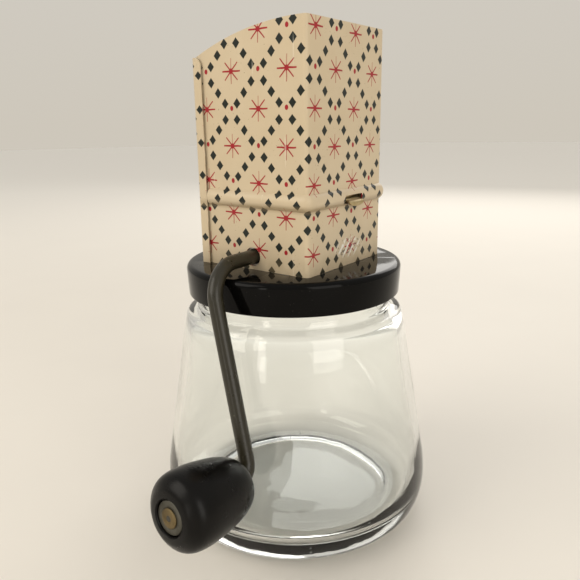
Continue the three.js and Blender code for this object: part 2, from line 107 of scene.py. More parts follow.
def make_camera():
    """The photo's camera, solved from the lid's and hopper's edges."""
    azimuth, elevation = math.radians(36.96), math.radians(15.49)
    distance, target = 221.1 * MM, Vector((0, 0, 82.2 * MM))
    pan, roll = math.radians(0.377), math.radians(0.77)
    back = Vector((
        math.sin(azimuth) * math.cos(elevation),
        -math.cos(azimuth) * math.cos(elevation),
        math.sin(elevation),
    ))
    data = bpy.data.cameras.new("camera")
    data.sensor_width = 36
    data.lens = 37.6
    data.clip_start = 0.01
    data.clip_end = 20
    camera = bpy.data.objects.new("camera", data)
    bpy.context.scene.collection.objects.link(camera)
    aim(camera, target + back * distance, target)
    camera.matrix_world = (
        camera.matrix_world @ Matrix.Rotation(-roll, 4, "Z") @ Matrix.Rotation(pan, 4, "Y")
    )
    bpy.context.scene.camera = camera


def add_light(name, location, target, size, power, color):
    data = bpy.data.lights.new(name, "AREA")
    data.shape = "RECTANGLE"
    data.size, data.size_y = size
    data.energy = power
    data.color = color
    light = bpy.data.objects.new(name, data)
    bpy.context.scene.collection.objects.link(light)
    aim(light, location, target)


def make_lights():
    """Four large soft lights."""
    middle = (0, 0, 0.09)
    add_light("key", (-0.42, -0.75, 0.75), middle, (0.7, 0.7), 4.4, (1.0, 0.94, 0.85))
    add_light("fill", (0.95, -0.35, 0.45), middle, (0.6, 0.8), 3.4, (1.0, 0.96, 0.9))
    add_light("rim", (-0.25, 0.9, 0.55), middle, (0.8, 0.5), 3.0, (1.0, 0.97, 0.93))
    add_light("strip", (0.1, -0.95, 0.12), middle, (0.12, 0.5), 0.6, (1.0, 0.95, 0.88))


def make_world():
    """An even pale room, slightly warmer towards the horizon."""
    world = bpy.data.worlds.new("studio")
    bpy.context.scene.world = world
    world.use_nodes = True
    nodes, links = world.node_tree.nodes, world.node_tree.links
    coords = nodes.new("ShaderNodeTexCoord")
    parts = nodes.new("ShaderNodeSeparateXYZ")
    ramp = nodes.new("ShaderNodeValToRGB")
    ramp.color_ramp.elements[0].position = 0.0
    ramp.color_ramp.elements[0].color = (0.77, 0.715, 0.62, 1)
    ramp.color_ramp.elements[1].position = 0.7
    ramp.color_ramp.elements[1].color = (0.82, 0.80, 0.76, 1)
    links.new(coords.outputs["Generated"], parts.inputs[0])
    links.new(parts.outputs["Z"], ramp.inputs["Fac"])
    links.new(ramp.outputs["Color"], nodes["Background"].inputs["Color"])
    nodes["Background"].inputs["Strength"].default_value = 0.8


# ---- Shader tools ----------------------------------------------------------------------------

class Value:
    """A number socket of a material, with ordinary arithmetic."""

    def __init__(self, tree, socket):
        self.tree = tree
        self.socket = socket

    def math(self, operation, *others, clamp=False):
        node = self.tree.nodes.new("ShaderNodeMath")
        node.operation = operation
        node.use_clamp = clamp
        for place, value in enumerate((self, *others)):
            if isinstance(value, Value):
                self.tree.links.new(value.socket, node.inputs[place])
            else:
                node.inputs[place].default_value = value
        return Value(self.tree, node.outputs[0])

    def __add__(self, other):
        return self.math("ADD", other)

    def __sub__(self, other):
        return self.math("SUBTRACT", other)

    def __mul__(self, other):
        return self.math("MULTIPLY", other)

    def __truediv__(self, other):
        return self.math("DIVIDE", other)

    def __abs__(self):
        return self.math("ABSOLUTE")

    def flipped(self):
        """One minus this value."""
        return (self * -1) + 1

    def below(self, edge, soft):
        """1 where the value is under the edge, 0 above it, with a soft step between."""
        return (((self * -1) + edge) / soft + 0.5).math("ADD", 0.0, clamp=True)

    def above(self, edge, soft):
        """1 where the value is over the edge, 0 below it, with a soft step between."""
        return ((self - edge) / soft + 0.5).math("ADD", 0.0, clamp=True)

    def larger(self, other):
        return self.math("MAXIMUM", other)


class Finish:
    """A material and the tools that build it."""

    def __init__(self, name, roughness, metallic=0.0, **fixed):
        self.material = bpy.data.materials.new(name)
        self.material.use_nodes = True
        self.tree = self.material.node_tree
        self.shader = self.tree.nodes["Principled BSDF"]
        self.shader.inputs["Roughness"].default_value = roughness
        self.shader.inputs["Metallic"].default_value = metallic
        for socket, value in fixed.items():
            self.shader.inputs[socket.replace("_", " ")].default_value = value
        self.place = self.tree.nodes.new("ShaderNodeTexCoord")

    def node(self, kind, **settings):
        node = self.tree.nodes.new(kind)
        for name, value in settings.items():
            setattr(node, name, value)
        return node

    def uv(self):
        """The two coordinates of the piece's sheet."""
        parts = self.node("ShaderNodeSeparateXYZ")
        self.tree.links.new(self.place.outputs["UV"], parts.inputs[0])
        return Value(self.tree, parts.outputs["X"]), Value(self.tree, parts.outputs["Y"])

    def position(self):
        """The place on the object, in metres."""
        parts = self.node("ShaderNodeSeparateXYZ")
        self.tree.links.new(self.place.outputs["Object"], parts.inputs[0])
        return tuple(Value(self.tree, parts.outputs[axis]) for axis in "XYZ")

    def noise(self, size, detail=3.0, roughness=0.5, stretch=(1, 1, 1)):
        """Noise from 0 to 1 whose features are about this many metres across."""
        mapping = self.node("ShaderNodeMapping")
        self.tree.links.new(self.place.outputs["Object"], mapping.inputs["Vector"])
        mapping.inputs["Scale"].default_value = [part / size for part in stretch]
        noise = self.node("ShaderNodeTexNoise")
        self.tree.links.new(mapping.outputs["Vector"], noise.inputs["Vector"])
        noise.inputs["Scale"].default_value = 1.0
        noise.inputs["Detail"].default_value = detail
        noise.inputs["Roughness"].default_value = roughness
        return Value(self.tree, noise.outputs["Fac"])

    def mix(self, share, first, second):
        """Colour sockets or tuples mixed by a Value."""
        node = self.node("ShaderNodeMix", data_type="RGBA")
        self.tree.links.new(share.socket, node.inputs["Factor"])
        for name, color in (("A", first), ("B", second)):
            socket = [s for s in node.inputs if s.name == name and s.type == "RGBA"][0]
            if isinstance(color, tuple):
                socket.default_value = (*color, 1)
            else:
                self.tree.links.new(color, socket)
        return [s for s in node.outputs if s.type == "RGBA"][0]

    def set(self, socket, value):
        """Links a Value or a colour socket to one of the shader's inputs."""
        source = value.socket if isinstance(value, Value) else value
        self.tree.links.new(source, self.shader.inputs[socket])

    def bump(self, height, depth):
        """Relief of this many metres between heights 0 and 1."""
        node = self.node("ShaderNodeBump")
        node.inputs["Strength"].default_value = 1.0
        node.inputs["Distance"].default_value = depth
        self.tree.links.new(height.socket, node.inputs["Height"])
        self.tree.links.new(node.outputs["Normal"], self.shader.inputs["Normal"])


# ---- Materials -------------------------------------------------------------------------------

CREAM = (0.60, 0.497, 0.345)
INK_BLACK = (0.006, 0.009, 0.007)
INK_RED = (0.33, 0.012, 0.020)

# Sizes in the print's cells, in mm.
BLACK_SHIFT = (0.3, 0.75)         # the black plate sits a little low and to the left of the red one
DIAMOND_HALF = (1.45, 1.62)
DIAMOND_PLACE = (2.47, 2.45)      # from a dot to the four diamonds round it
DOT_UP = 0.27                     # from a cell's middle to its dot

# The scuffed patch on the slot's side, under the bead: places and sizes along Y and Z.
SCUFF_MIDDLE = (1.5 * MM, 100.5 * MM)
SCUFF_HALF = (8 * MM, 3.2 * MM)
SCUFF_STROKE = 0.42 * MM          # a radian of the strokes' wave
SCUFF_PAST_X = 20 * MM            # only the sheet beyond this is scuffed


def star_and_diamond_masks(finish):
    """Masks of the printed pattern: diamonds, dots, stars, and the stars' paler upright rays."""
    wobble = (finish.noise(2.6 * MM, 2.0) - 0.5) * 0.03
    drift = (finish.noise(3.1 * MM, 2.0) - 0.5) * 0.03
    u, v = finish.uv()
    along, up = CELL_ALONG / MM, CELL_UP / MM

    def cell(shift_along, shift_up):
        """Distances in mm from the middle of the lattice cell, and a mask of the stars' cells."""
        x = u + wobble + shift_along / along
        y = v + drift + shift_up / up
        column, row = x.math("ROUND"), y.math("ROUND")
        even = (column + row).math("FLOORED_MODULO", 2.0).flipped()
        return (x - column) * along, (y - row) * up, even

    def diamond(dx, dy):
        return (abs(dx) / DIAMOND_HALF[0] + abs(dy) / DIAMOND_HALF[1]).below(1.0, 0.08)

    x, y, even = cell(*BLACK_SHIFT)
    x, y = abs(x), abs(y)
    corner_diamond = diamond(x - DIAMOND_PLACE[0], y - DIAMOND_PLACE[1]) * even.flipped()
    edge_diamond = diamond(x - along / 2, y - up / 2)
    diamonds = corner_diamond.larger(edge_diamond)

    x, y, even = cell(0.0, 0.0)
    dot_up = y - DOT_UP
    dot = ((x * x) + (dot_up * dot_up) * 0.7).below(0.42, 0.12) * even.flipped()
    upper = y.above(0.8, 0.8)
    x, y = abs(x), abs(y)

    def ray(off, away, half_width, length):
        """A ray along one direction, tapering towards its tip."""
        taper = off + away * (0.28 * half_width / length)
        return taper.below(half_width, 0.1) * away.below(length, 0.12)

    level = ray(y, x, 0.31, 3.65)
    upright = ray(x, y, 0.22, 3.8)
    slant = ray(abs(x - y) * 0.707, (x + y) * 0.707, 0.25, 3.7)
    heart = (x * x + y * y).below(0.7, 0.3)
    star = level.larger(slant).larger(heart) * even
    pale = upright * even * (upper * -0.3 + 1)
    return diamonds, dot, star, pale


def printed_tin(name, scuffed=False):
    """Cream sheet printed with red stars and near-black diamonds: grime at the foot, painted shade under
    the bead, specks and scratches.

    scuffed: with the rubbed and chipped patch on the slot's side.
    """
    finish = Finish(name, 0.34, Specular_IOR_Level=0.3)
    diamonds, dot, star, pale = star_and_diamond_masks(finish)
    mottle = finish.noise(14 * MM, 4.0)
    ground = finish.mix(mottle.above(0.5, 0.5), CREAM, (0.575, 0.465, 0.31))
    ink_uneven = finish.noise(0.7 * MM, 3.0)
    paler = finish.mix(pale * 0.75, ground, INK_RED)
    red = finish.mix(star.larger(dot) * ink_uneven.above(0.1, 0.5), paler, INK_RED)
    green = finish.mix(ink_uneven, INK_BLACK, (0.014, 0.019, 0.014))
    printed = finish.mix(diamonds, red, green)
    x, y, z = finish.position()
    low_grime = (z - LID_TOP).below(3 * MM, 7 * MM) * finish.noise(5 * MM).above(0.5, 0.3) * 0.4
    # Painted shade: a brown band just under the bead, where the bead shades the sheet. It shares the brown
    # of the grime at the foot.
    painted_bead_shade = abs(z - (BEAD_Z - 2.1 * MM)).below(0.9 * MM, 1.4 * MM) * 0.5
    grime_and_painted_shade = finish.mix(low_grime.larger(painted_bead_shade), printed, (0.30, 0.22, 0.12))
    specks = finish.noise(0.55 * MM, 1.0).above(0.755, 0.02) * finish.noise(9 * MM).above(0.56, 0.06)
    speckled = finish.mix(specks * 0.75, grime_and_painted_shade, (0.13, 0.10, 0.06))
    scratch = finish.noise(1.2 * MM, 2.0, stretch=(1, 1, 0.06)).above(0.74, 0.04)
    color = finish.mix(scratch * 0.35, speckled, (0.80, 0.74, 0.62))
    wear = scratch * 0.5
    if scuffed:
        patch_y = (y - SCUFF_MIDDLE[0]) / SCUFF_HALF[0]
        patch_z = (z - SCUFF_MIDDLE[1]) / SCUFF_HALF[1]
        spread = (patch_y * patch_y + patch_z * patch_z).below(0.9, 0.9)
        on_side = x.above(SCUFF_PAST_X, MM)
        slanted = y * 0.75 - z * 0.66
        waver = finish.noise(2.0 * MM, 3.0) * (1.5 * MM)
        strokes = ((slanted + waver) * (1 / SCUFF_STROKE)).math("SINE").above(0.45, 0.5)
        rubbed = strokes * finish.noise(1.6 * MM, 3.0).above(0.42, 0.1) * spread * on_side
        color = finish.mix(rubbed, color, (0.80, 0.77, 0.70))
        chips = strokes.flipped() * finish.noise(0.9 * MM, 2.0).above(0.60, 0.04) * spread * on_side
        color = finish.mix(chips, color, (0.11, 0.09, 0.07))
        wear = wear.larger(rubbed)
    finish.set("Base Color", color)
    finish.set("Roughness", wear * 0.3 + mottle * 0.12 + 0.26)
    dents = finish.noise(16 * MM, 2.0)
    finish.bump(dents + diamonds * 0.012 + wear * -0.03, 0.5 * MM)
    return finish.material


def bare_tin(name, color, roughness=0.3, tarnish=(0.42, 0.34, 0.2)):
    """Sheet metal with rolling marks and clouds of tarnish."""
    finish = Finish(name, roughness, 1.0)
    clouds = finish.noise(6 * MM, 5.0)
    rolled = finish.noise(0.6 * MM, 3.0, stretch=(1, 1, 0.05))
    base = finish.mix(clouds.above(0.55, 0.25), color, tarnish)
    finish.set("Base Color", base)
    finish.set("Roughness", clouds * 0.25 + rolled * 0.15 + (roughness - 0.12))
    finish.bump(rolled * 0.5 + clouds, 0.05 * MM)
    return finish.material


def clear_glass():
    """Old pressed glass: clear, faintly green, with a slow ripple and a few seeds."""
    finish = Finish("clear_glass", 0.0, Transmission_Weight=1.0, IOR=1.5)
    finish.shader.inputs["Base Color"].default_value = (0.965, 0.985, 0.975, 1)
    ripple = finish.noise(11 * MM, 2.0, stretch=(1, 1, 0.5))
    seeds = finish.noise(1.3 * MM, 1.0).above(0.8, 0.05)
    finish.bump(ripple + seeds * 0.2, 0.07 * MM)
    return finish.material


def black_lid():
    """Black moulding, polished, with hairline scratches and a little dust."""
    finish = Finish("black_lid", 0.09, Specular_IOR_Level=0.1)
    haze = finish.noise(9 * MM, 4.0)
    hairlines = finish.noise(0.9 * MM, 2.0, stretch=(0.06, 1, 1)).above(0.72, 0.05)
    dust = finish.noise(0.5 * MM, 1.0).above(0.765, 0.02)
    base = finish.mix(haze, (0.0015, 0.0014, 0.0015), (0.003, 0.0028, 0.0025))
    finish.set("Base Color", finish.mix(dust * 0.2, base, (0.16, 0.15, 0.13)))
    finish.set("Roughness", haze * 0.07 + hairlines * 0.12 + dust * 0.2 + 0.04)
    finish.bump(finish.noise(18 * MM, 1.0), 0.1 * MM)
    return finish.material


def painted_rod():
    """Dark olive enamel on wire, with flecks and rubbed places."""
    finish = Finish("painted_rod", 0.36, Specular_IOR_Level=0.4)
    mottle = finish.noise(3 * MM, 5.0)
    rub = finish.noise(2.2 * MM, 4.0, 0.7).above(0.68, 0.05)
    base = finish.mix(mottle, (0.016, 0.014, 0.008), (0.030, 0.026, 0.015))
    finish.set("Base Color", finish.mix(rub * 0.4, base, (0.12, 0.11, 0.08)))
    finish.set("Roughness", mottle * 0.16 + 0.22)
    finish.bump(finish.noise(0.8 * MM, 3.0) + rub * -0.3, 0.05 * MM)
    return finish.material


def black_knob():
    """Black satin knob, smoothed by handling, with faint turning marks."""
    finish = Finish("black_knob", 0.36, Specular_IOR_Level=0.16)
    mottle = finish.noise(5 * MM, 5.0)
    turning = finish.noise(0.5 * MM, 2.0, stretch=(0.08, 1, 0.08))
    scratch = finish.noise(1.0 * MM, 3.0, stretch=(1, 0.1, 1)).above(0.73, 0.04)
    base = finish.mix(mottle, (0.0018, 0.0015, 0.0012), (0.0038, 0.0032, 0.0026))
    finish.set("Base Color", finish.mix(scratch * 0.4, base, (0.04, 0.035, 0.03)))
    finish.set("Roughness", mottle * 0.12 + turning * 0.06 + 0.2)
    finish.bump(turning * 0.3 + mottle, 0.04 * MM)
    return finish.material


def liner_board():
    """Waxed board with fibres."""
    finish = Finish("liner_board", 0.7)
    fibre = finish.noise(0.8 * MM, 5.0, 0.7)
    finish.set("Base Color", finish.mix(fibre, (0.55, 0.48, 0.34), (0.68, 0.62, 0.48)))
    finish.bump(fibre, 0.08 * MM)
    return finish.material


def pale_floor():
    """Plain pale floor, paler with distance so that it meets the world without a line."""
    finish = Finish("pale_floor", 0.55)
    grain = finish.noise(60 * MM, 4.0)
    near = finish.mix(grain, (0.78, 0.735, 0.665), (0.81, 0.765, 0.69))
    x, y = finish.position()[:2]
    far = (x * x + y * y).math("SQRT").above(0.8, 0.9)
    finish.set("Base Color", finish.mix(far, near, (0.97, 0.93, 0.86)))
    return finish.material


# ---- Mesh tools ------------------------------------------------------------------------------

def new_object(name, mesh):
    obj = bpy.data.objects.new(name, mesh)
    bpy.context.scene.collection.objects.link(obj)
    return obj


def from_bmesh(name, bm, materials, smooth_angle=35):
    bmesh.ops.recalc_face_normals(bm, faces=bm.faces)
    mesh = bpy.data.meshes.new(name)
    bm.to_mesh(mesh)
    bm.free()
    for material in materials:
        mesh.materials.append(material)
    obj = new_object(name, mesh)
    shade(obj, smooth_angle)
    return obj


def shade(obj, degrees=35):
    obj.data.shade_smooth()
    obj.data.set_sharp_from_angle(angle=math.radians(degrees))


def settle(obj, degrees=35):
    """Turns the object's modifiers into its mesh."""
    graph = bpy.context.evaluated_depsgraph_get()
    mesh = bpy.data.meshes.new_from_object(obj.evaluated_get(graph))
    obj.modifiers.clear()
    obj.data = mesh
    shade(obj, degrees)


def cut(obj, *cutters):
    """Takes the cutters out of the object, and deletes them."""
    for cutter in cutters:
        modifier = obj.modifiers.new("cut", "BOOLEAN")
        modifier.object = cutter
        modifier.operation = "DIFFERENCE"
        modifier.solver = "EXACT"
    settle(obj)
    for cutter in cutters:
        bpy.data.objects.remove(cutter)


def bevel(obj, width, segments=2, degrees=40):
    modifier = obj.modifiers.new("bevel", "BEVEL")
    modifier.width = width
    modifier.segments = segments
    modifier.limit_method = "ANGLE"
    modifier.angle_limit = math.radians(degrees)
    modifier.harden_normals = False


def finish_piece(obj, body, slot, *nodes):
    """Says which body the piece rides, and hides the CAD nodes it stands for. The slot is not used."""
    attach(obj, body)
    if nodes:
        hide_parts(*nodes)


def arc(centre, radius, start, end, count):
    """Points of an arc between two angles in degrees."""
    return [
        (
            centre[0] + radius * math.cos(math.radians(start + (end - start) * i / count)),
            centre[1] + radius * math.sin(math.radians(start + (end - start) * i / count)),
        )
        for i in range(count + 1)
    ]


def curve_through(points, per_span=6):
    """A smooth curve through the points (Catmull-Rom)."""
    ends = [points[0], *points, points[-1]]
    result = []
    for a, b, c, d in zip(ends, ends[1:], ends[2:], ends[3:]):
        for i in range(per_span):
            t = i / per_span
            result.append(tuple(
                0.5 * (
                    2 * b[k] + (c[k] - a[k]) * t
                    + (2 * a[k] - 5 * b[k] + 4 * c[k] - d[k]) * t ** 2
                    + (3 * b[k] - a[k] - 3 * c[k] + d[k]) * t ** 3
                )
                for k in (0, 1)
            ))
    return [*result, points[-1]]


def lathe(name, profile, materials, segments=128, matrix=None, smooth_angle=35):
    """Turns a profile of (radius, height) round Z. A point on the axis closes the body there."""
    bm = bmesh.new()
    rings = []
    for radius, height in profile:
        if radius < 1e-7:
            rings.append([bm.verts.new((0, 0, height))])
            continue
        rings.append([
            bm.verts.new((
                radius * math.cos(2 * math.pi * i / segments),
                radius * math.sin(2 * math.pi * i / segments),
                height,
            ))
            for i in range(segments)
        ])
    pairs = list(zip(rings, rings[1:]))
    if len(rings[0]) > 1 and len(rings[-1]) > 1:
        pairs.append((rings[-1], rings[0]))
    for lower, upper in pairs:
        for i in range(segments):
            j = (i + 1) % segments
            corners = [
                lower[i % len(lower)], lower[j % len(lower)], upper[j % len(upper)], upper[i % len(upper)],
            ]
            unique = list(dict.fromkeys(corners))
            if len(unique) > 2:
                bm.faces.new(unique)
    if matrix:
        bmesh.ops.transform(bm, matrix=matrix, verts=bm.verts)
    return from_bmesh(name, bm, materials, smooth_angle)


def box(name, low, high):
    bm = bmesh.new()
    bmesh.ops.create_cube(bm, size=1)
    size = Vector(high) - Vector(low)
    middle = (Vector(high) + Vector(low)) / 2
    matrix = Matrix.Translation(middle) @ Matrix.Diagonal((*size, 1))
    bmesh.ops.transform(bm, matrix=matrix, verts=bm.verts)
    return from_bmesh(name, bm, [])


def join(target, others):
    """Adds the other meshes to the target's mesh."""
    bm = bmesh.new()
    for obj in (target, *others):
        bm.from_mesh(obj.data)
    bm.to_mesh(target.data)
    bm.free()
    for obj in others:
        bpy.data.objects.remove(obj)


# ---- Tabs under the lid ----------------------------------------------------------------------

# Outward direction of each hopper wall, and the reach to the outer face of its sheet.
WRAP_SIDES = [((0, -1), HOPPER_HALF), ((1, 0), HOPPER_HALF), ((0, 1), HOPPER_HALF)]
BACK_SIDE = ((-1, 0), -BACK_LOW.x)
SHEET_SIDES = [*WRAP_SIDES, BACK_SIDE]
TAB_HALF = 3.5 * MM
TAB_SPACING = 11 * MM           # from a wall's middle to each of its two tabs
TAB_REACH = 3.6 * MM            # inwards from the sheet's outer face
UNDER_LID = LID_TOP - 2.7 * MM
BARE_SIDE = 1                   # material index of a sheet's unprinted side


def wall_box(out, along, near, far, low, high):
    """Corners of a box against a wall: centred on a place along it, between two reaches outwards."""
    across, outward = Vector((-out[1], out[0], 0)), Vector((*out, 0))
    a = across * (along - TAB_HALF) + outward * near
    b = across * (along + TAB_HALF) + outward * far
    return (
        Vector((min(a.x, b.x), min(a.y, b.y), low)),
        Vector((max(a.x, b.x), max(a.y, b.y), high)),
    )


def tab_legs(out, face):
    """Corners of the two straight legs that pass through the lid at one wall."""
    return [
        wall_box(out, along, face - TIN, face, UNDER_LID - TIN, LID_TOP + 0.02 * MM)
        for along in (-TAB_SPACING, TAB_SPACING)
    ]


def folded_tabs(sides):
    """The tabs that pass down through the lid and are folded in under it, in bare metal."""
    corners = []
    for out, face in sides:
        corners += tab_legs(out, face)
        corners += [
            wall_box(out, along, face - TAB_REACH, face - TIN, UNDER_LID - TIN, UNDER_LID)
            for along in (-TAB_SPACING, TAB_SPACING)
        ]
    tabs = [box("tab", low, high) for low, high in corners]
    for tab in tabs:
        for polygon in tab.data.polygons:
            polygon.material_index = BARE_SIDE
    return tabs


# ---- Jar and lid -----------------------------------------------------------------------------

THREAD_START_Z = 84.8 * MM
THREAD_PITCH = 4.23 * MM
THREAD_TURNS = 1.12
THREAD_HALF = 1.2 * MM
THREAD_PROUD = 1.1 * MM
NECK_RADIUS = 33 * MM           # the thread rises from the neck's rows outside this radius
NECK_LOW_Z, NECK_HIGH_Z = 83.7 * MM, 89.6 * MM
LID_PANEL = 2.4 * MM
LID_BORE = 35.1 * MM
THROAT_HALF = 18 * MM


def mm(*points):
    """Points given in mm, in metres."""
    return [(x * MM, y * MM) for x, y in points]


def raise_thread(jar):
    """Moves the neck's surface out along a rising thread."""
    for vertex in jar.data.vertices:
        x, y, z = vertex.co
        radius = math.hypot(x, y)
        if radius > NECK_RADIUS and NECK_LOW_Z < z < NECK_HIGH_Z:
            turn = (math.atan2(y, x) / (2 * math.pi)) % 1
            off = min(
                abs(z - THREAD_START_Z - THREAD_PITCH * (turn + k))
                for k in (0, 1) if turn + k < THREAD_TURNS
            )
            rise = max(0.0, 1 - (off / THREAD_HALF) ** 2) * THREAD_PROUD
            vertex.co.x *= (radius + rise) / radius
            vertex.co.y *= (radius + rise) / radius


def make_jar(glass):
    """The jar, turned from its outline, base and inside, with a raised thread."""
    side = curve_through(mm(
        (37.9, 0.0), (41.4, 1.2), (45.9, 3.7), (47.9, 7.4), (48.9, 13), (48.55, 20), (47.2, 28), (45.3, 40),
        (42.6, 55), (40.5, 68), (39.3, 73.4),
    ), 5)
    shoulder = arc((36.2 * MM, 75.2 * MM), 2.8 * MM, 20, 80, 6)
    neck = mm((34.75, 78.7), (34.35, 79.3), (34.35, 83.0), (33.5, 83.7), (33.5, 89.4))
    rim = arc((32.2 * MM, 89.3 * MM), 1.3 * MM, 20, 160, 8)
    inside = curve_through(mm(
        (30.6, 88.5), (30.5, 80), (31.6, 77), (35.2, 73), (37.2, 67), (39.5, 54), (42.1, 40), (44.6, 26),
        (45.4, 16), (43.2, 9.8), (37, 6.9), (28, 6.1), (16, 6.5), (0.0, 7.1),
    ), 4)
    recess = mm((0.0, 1.3), (30, 1.2), (34.5, 0.9), (36, 0.25), (36.8, 0.0))
    jar = lathe("jar_glass", [*recess, *side, *shoulder, *neck, *rim, *inside], [glass], 160)
    raise_thread(jar)
    finish_piece(jar, "jar_body", "glass", "jar")


def make_lid(black):
    """The moulded lid, with the hopper's throat and the slots for its tabs."""
    bottom = LID_LOW.z
    round_edge = 1.9 * MM
    edge = arc((LID_RADIUS - round_edge, LID_TOP - round_edge), round_edge, 0, 90, 10)
    foot = arc((LID_RADIUS - 1.0 * MM, bottom + 0.6 * MM), 0.6 * MM, -90, 0, 4)
    under = LID_TOP - LID_PANEL
    profile = [
        (0.0, under), (LID_BORE - 1 * MM, under), (LID_BORE, under - 1 * MM),
        (LID_BORE, bottom + 0.4 * MM), (LID_BORE + 0.4 * MM, bottom), *foot, *edge, (0.0, LID_TOP),
    ]
    lid = lathe("lid_moulding", profile, [black], 160)
    throat = box(
        "throat", (-THROAT_HALF, -THROAT_HALF, under - MM), (THROAT_HALF, THROAT_HALF, LID_TOP + MM),
    )
    slots = [
        box("slot", low - Vector((0.4, 0.4, 2)) * MM, high + Vector((0.4, 0.4, 0.5)) * MM)
        for out, face in SHEET_SIDES for low, high in tab_legs(out, face)
    ]
    cut(lid, throat, *slots)
    bevel(lid, 0.3 * MM, 3)
    settle(lid)
    finish_piece(lid, "head", "black_lid", "screw_lid")


# ---- Hopper ----------------------------------------------------------------------------------

BEAD_ROUND = (BEAD_HALF ** 2 + BEAD_PROUD ** 2) / (2 * BEAD_PROUD)


def bead_rise(z):
    """How far the bead stands out of the panel at a height."""
    above = min(abs(z - BEAD_Z), BEAD_HALF)
    return math.sqrt(BEAD_ROUND ** 2 - above ** 2) - (BEAD_ROUND - BEAD_PROUD)


def top_edge(x):
    """Height of the hopper's top edge over a place along X."""
    past = max(0.0, TOP_ARC_START_X - x)
    return HOPPER_TOP - TOP_ARC_RADIUS + math.sqrt(TOP_ARC_RADIUS ** 2 - past ** 2)


def straight(start, end, outward, count):
    """Places along a flat panel: x, y and the outward direction."""
    run_x, run_y = end[0] - start[0], end[1] - start[1]
    return [
        (start[0] + run_x * i / count, start[1] + run_y * i / count, outward)
        for i in range(count + 1)
    ]


def corner(centre, radius, start, end, count):
    """Places round a bent corner, between two angles in degrees."""
    return [
        (x, y, ((x - centre[0]) / radius, (y - centre[1]) / radius))
        for x, y in arc(centre, radius, start, end, count)
    ]


def sheet_levels(bottom, bead):
    """Heights of the sheet's rows below its top part, and how far up the sheet each lies."""
    low_rows = [bottom + (BEAD_Z - BEAD_HALF - bottom) * i / 6 for i in range(7)]
    bead_rows = [BEAD_Z - BEAD_HALF * math.cos(math.pi * i / 16) for i in range(1, 17)]
    rows = low_rows + (bead_rows if bead else [BEAD_Z, BEAD_Z + BEAD_HALF])
    lengths = [0.0]
    for a, b in zip(rows, rows[1:]):
        step_out = bead_rise(b) - bead_rise(a) if bead else 0.0
        lengths.append(lengths[-1] + math.hypot(b - a, step_out))
    surface = [rows[-1] - (lengths[-1] - length) for length in lengths]
    return list(zip(rows, surface))


def lattice(star, scale=1.0, turned=False):
    """Maps a place on the sheet to the print's lattice, whose origin is a star.

    turned: the lattice is a quarter turn round from the sheet's own directions.
    """
    steps = Matrix(((CELL_ALONG, PRINT_LEAN_UP), (PRINT_LEAN_ALONG, CELL_UP))) * scale
    if turned:
        steps = Matrix.Rotation(math.pi / 2, 2) @ steps
    back = steps.inverted()
    return lambda along, up: back @ Vector((along - star[0], up - star[1]))


def make_sheet(name, places, top_of, materials, zero_place, to_lattice, bead_share=None):
    """A bent sheet through the places, up to top_of(x), with its print laid out from one place.

    bead_share(x) says how much of the bead is pressed out at a place, or None for a flat sheet.
    """
    upper_rows = 12
    levels = sheet_levels(SHEET_FOOT_Z, bead_share is not None)
    bm = bmesh.new()
    layer = bm.loops.layers.uv.new("UVMap")
    distances = [0.0]
    for before, place in zip(places, places[1:]):
        distances.append(distances[-1] + math.dist(before[:2], place[:2]))
    columns = []
    for (x, y, out), distance in zip(places, distances):
        along = distance - distances[zero_place]
        share = bead_share(x) if bead_share else 0.0
        column = []
        for z, surface in levels:
            rise = bead_rise(z) * share
            column.append((Vector((x + out[0] * rise, y + out[1] * rise, z)), surface))
        start = levels[-1][0]
        top = top_of(x)
        for row in range(1, upper_rows + 1):
            z = start + (top - start) * row / upper_rows
            column.append((Vector((x, y, z)), z))
        columns.append([(bm.verts.new(point), to_lattice(along, surface)) for point, surface in column])
    for left, right in zip(columns, columns[1:]):
        for row in range(len(left) - 1):
            corners = [left[row], right[row], right[row + 1], left[row + 1]]
            face = bm.faces.new([vertex for vertex, uv in corners])
            for loop, (vertex, uv) in zip(face.loops, corners):
                loop[layer].uv = uv
    mesh = bpy.data.meshes.new(name)
    bm.to_mesh(mesh)
    bm.free()
    for material in materials:
        mesh.materials.append(material)
    sheet = new_object(name, mesh)
    solidify = sheet.modifiers.new("sheet", "SOLIDIFY")
    solidify.thickness = TIN
    solidify.offset = -1
    solidify.material_offset = BARE_SIDE
    solidify.material_offset_rim = BARE_SIDE
    solidify.use_even_offset = True
    settle(sheet, 50)
    return sheet


